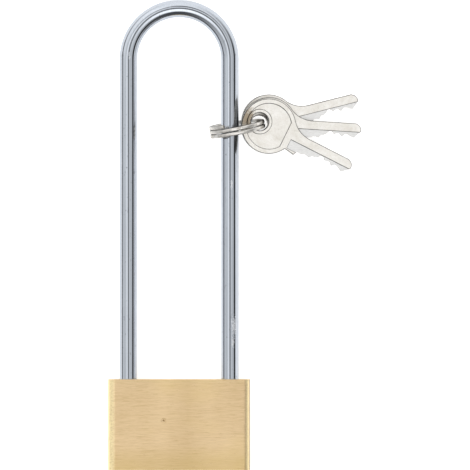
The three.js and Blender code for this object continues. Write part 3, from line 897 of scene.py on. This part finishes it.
def keyOutline():
    v = key
    tip = v["shoulder"] + v["blade"]
    neck = 42
    stub = -math.degrees(math.asin(4.5 / v["bowRadius"]))
    points = arc(0, 0, v["bowRadius"], neck, 360 + stub, 72)
    points.append((v["shoulder"] - 0.7, -v["millBottom"] - 1.35))
    stations = [v["shoulder"]]
    for k in range(len(v["cuts"])):
        middle = v["shoulder"] + v["firstCut"] + k * v["cutPitch"]
        stations += [middle - v["cutPitch"] / 2, middle - v["cutFlat"] / 2, middle + v["cutFlat"] / 2]
    stations += [tip - 2.4, tip - 1.2, tip]
    points += [(x, -cutEdge(x)) for x in stations]
    points += quarterCurve(points[-1], (tip + 0.5, v["spine"] * 0.6), (tip - 1.8, v["spine"]), 8)
    points.append((v["shoulder"] + 2, v["spine"]))
    bowEnd = arc(0, 0, v["bowRadius"], neck, neck, 1)[0]
    points += quarterCurve(points[-1], (v["bowRadius"] + 0.3, v["spine"] + 0.2), bowEnd, 14)[:-1]
    return points


def bowRecess():
    # the sunk face of the bow, which ends at a chord on the blade's side and leaves a collar round the hole
    v = key
    half = math.degrees(math.acos(v["recessChord"] / v["recessRadius"]))
    floor = v["thickness"] / 2 - v["recessDepth"]
    sunk = plate(arc(0, 0, v["recessRadius"], half, 360 - half, 64), floor, floor + 2)
    breakEdges(sunk, floor, v["recessBreak"])
    collar = turned(
        [(0, floor - 1), (v["collarRadius"], floor - 1), (v["collarRadius"], floor),
         (v["collarRadius"] - v["recessBreak"], floor + v["recessBreak"]),
         (v["collarRadius"] - v["recessBreak"], floor + 3), (0, floor + 3)],
        48,
    )
    return carve(sunk, [placed(collar, "z", (-v["holeSetback"], 0, 0))])


def mirrored(bm):
    # the same shape for the key's other face
    bm.transform(Matrix.Diagonal((1, 1, -1, 1)))
    bmesh.ops.recalc_face_normals(bm, faces=bm.faces[:])
    return bm


def keyShape():
    v = key
    half = v["thickness"] / 2
    end = v["shoulder"] + v["blade"] + 2
    brk = v["edgeBreak"]
    r = v["holeRadius"]
    flare = r + 1 + brk
    over = half + 1
    hole = turned(
        [(0, -over), (flare, -over), (r, -half + brk), (r, half - brk), (flare, over), (0, over)], 56
    )
    millFloor = half - v["millDepth"]
    wide = block((v["millStart"], -v["millBottom"] - 0.4, millFloor), (end, -v["millTop"], over))
    narrow = block((v["millStart"] + 1, 0.5, millFloor), (end, 1.6, over))
    blank = plate(keyOutline(), -half, half)
    breakEdges(blank, half, brk, 2)
    breakEdges(blank, -half, brk, 2)
    tools = [
        placed(hole, "z", (-v["holeSetback"], 0, 0)),
        bowRecess(),
        mirrored(bowRecess()),
        breakEdges(wide, millFloor, v["millBreak"]),
        mirrored(narrow),
    ]
    bm = carve(blank, tools)
    bm.normal_update()
    # the material paints edge faces with dark reflection and shade, and wall faces with shade
    marked(bm, "edge", lambda face: 0.05 < abs(face.normal.z) < 0.97)
    marked(bm, "wall", lambda face: abs(face.normal.z) <= 0.05)
    deep = millFloor + 0.05
    marked(bm, "milled", lambda face: abs(face.normal.z) > 0.97 and abs(face.calc_center_median().z) < deep)
    return bm


def makeKey(index):
    pose = keyPoses[index]
    name = f"key_{index + 1}"
    joint = joints[f"{name}_swing"]
    pivot = wireAt[index]
    tilt = math.atan2(joint["axis"][0], joint["axis"][2])
    bm = keyShape()
    bm.transform(
        Matrix.Translation(pivot)
        @ Matrix.Rotation(tilt, 4, "Y")
        @ Matrix.Rotation(math.radians(pose["angle"]), 4, "Z")
        @ Matrix.Translation((key["holeSetback"] - pose["ahead"], pose["aside"], 0))
    )
    return finishPiece(bm, f"key{index + 1}", keyMetal, "key_nickel", name, name)


for index in range(3):
    makeKey(index)
print("keys made")

# the pieces inside the lock keep their CAD shapes
for name, node in frame["nodes"].items():
    if node.hide_render:
        continue
    if "spring" in name and name != "spring_bolt":
        metal = springSteel
    elif name == "spring_bolt" or name.startswith("key_pin"):
        metal = plugBrass
    else:
        metal = innerSteel
    node.data.materials.clear()
    node.data.materials.append(metal)
print("inner pieces given their metals")

studio = {
    "floorSize": 6.0,
    "floorGlow": 0.55,
    "lens": 800,
    "sensor": 36,
    "viewWide": 165.7,  # millimetres across the view at the shackle's height
    "viewCentre": (19.7, 66.8),
}


def makeFloor():
    bm = bmesh.new()
    bmesh.ops.create_grid(bm, x_segments=4, y_segments=4, size=studio["floorSize"] / 2)
    floor = shown(bm, "paleFloor")
    white = Finish("pale floor", (0.93, 0.93, 0.93), 0.0, 0.7)
    mottle = white.noise((3, 3, 3), detail=2)
    colour = white.mixed(mottle, (0.92, 0.92, 0.92), (0.94, 0.94, 0.94))
    white.link(colour, white.shader.inputs["Base Color"])
    white.shader.inputs["Emission Color"].default_value = (1, 1, 1, 1)
    white.shader.inputs["Emission Strength"].default_value = studio["floorGlow"]
    white.shader.inputs["Specular IOR Level"].default_value = 0.1
    floor.data.materials.append(white.material)


makeFloor()

# brightness of the studio's panels at each angle down from overhead, on its four sides
panels = {
    "right": (
        (0, 0.36), (8, 0.36), (13, 1.08), (22, 1.05), (26, 0.9), (49, 0.9), (53, 0.05), (72, 0.05),
        (77, 1.2),
    ),
    "left": (
        (0, 0.36), (5, 0.36), (10, 1.5), (21, 1.5), (24, 0.85), (30, 0.72), (44, 0.72), (47, 0.98),
        (76, 0.95), (80, 0.10), (90, 0.10),
    ),
    "far": ((0, 0.30), (8, 0.30), (12, 1.2), (20, 1.2), (24, 0.30), (33, 0.30), (38, 1.5), (90, 1.5)),
    "near": ((0, 0.30), (5, 0.30), (9, 2.1), (31, 2.1), (37, 1.2), (43, 0.12), (90, 0.12)),
}


def makeWorld():
    world = bpy.data.worlds.new("studio")
    bpy.context.scene.world = world
    world.use_nodes = True
    tree = world.node_tree
    brightest = max(level for side in panels.values() for _, level in side)

    def maths(operation, a, b):
        node = tree.nodes.new("ShaderNodeMath")
        node.operation = operation
        for value, socket in ((a, node.inputs[0]), (b, node.inputs[1])):
            if isinstance(value, (int, float)):
                socket.default_value = value
            else:
                tree.links.new(value, socket)
        return node.outputs["Value"]

    def mixed(factor, a, b):
        node = tree.nodes.new("ShaderNodeMix")
        node.data_type = "RGBA"
        for value, name in ((factor, "Factor"), (a, "A"), (b, "B")):
            tree.links.new(value, node.inputs[name])
        return node.outputs["Result"]

    direction = tree.nodes.new("ShaderNodeTexCoord")
    split = tree.nodes.new("ShaderNodeSeparateXYZ")
    tree.links.new(direction.outputs["Generated"], split.inputs["Vector"])
    x, y, z = split.outputs["X"], split.outputs["Y"], split.outputs["Z"]
    down = maths("DIVIDE", maths("ARCCOSINE", z, 0), math.pi)
    sides = {}
    for name, levels in panels.items():
        ramp = tree.nodes.new("ShaderNodeValToRGB")
        tree.links.new(down, ramp.inputs["Fac"])
        elements = ramp.color_ramp.elements
        while len(elements) < len(levels):
            elements.new(0.5)
        for element, (degrees, level) in zip(elements, levels):
            element.position = degrees / 180
            element.color = (level / brightest, level / brightest, level / brightest, 1)
        sides[name] = ramp.outputs["Color"]
    alongX = mixed(maths("GREATER_THAN", x, 0), sides["left"], sides["right"])
    alongY = mixed(maths("GREATER_THAN", y, 0), sides["near"], sides["far"])
    flatX, flatY = maths("MULTIPLY", x, x), maths("MULTIPLY", y, y)
    share = maths("DIVIDE", flatY, maths("ADD", maths("ADD", flatX, flatY), 1e-5))
    background = tree.nodes["Background"]
    background.inputs["Strength"].default_value = brightest
    tree.links.new(mixed(share, alongX, alongY), background.inputs["Color"])


makeWorld()


def makeLamp(name, at, target, size, power):
    data = bpy.data.lights.new(name, "AREA")
    data.shape = "RECTANGLE"
    data.size, data.size_y = size
    data.energy = power
    lamp = bpy.data.objects.new(name, data)
    bpy.context.scene.collection.objects.link(lamp)
    lamp.location = at
    lamp.rotation_mode = "QUATERNION"
    lamp.rotation_quaternion = (Vector(target) - Vector(at)).to_track_quat("-Z", "Y")


makeLamp("softTop", (-0.7, 0.6, 0.9), (0.01, 0.06, 0), (1.2, 1.2), 1.4)


def makeCamera():
    v = studio
    data = bpy.data.cameras.new("camera")
    data.lens = v["lens"]
    data.sensor_width = v["sensor"]
    camera = bpy.data.objects.new("camera", data)
    bpy.context.scene.collection.objects.link(camera)
    away = v["viewWide"] * v["lens"] / v["sensor"]
    camera.location = Vector((*v["viewCentre"], midZ + away)) * metre
    data.clip_start, data.clip_end = 0.01, 20
    bpy.context.scene.camera = camera


makeCamera()
bpy.context.scene.view_settings.view_transform = "Standard"
print("studio made")
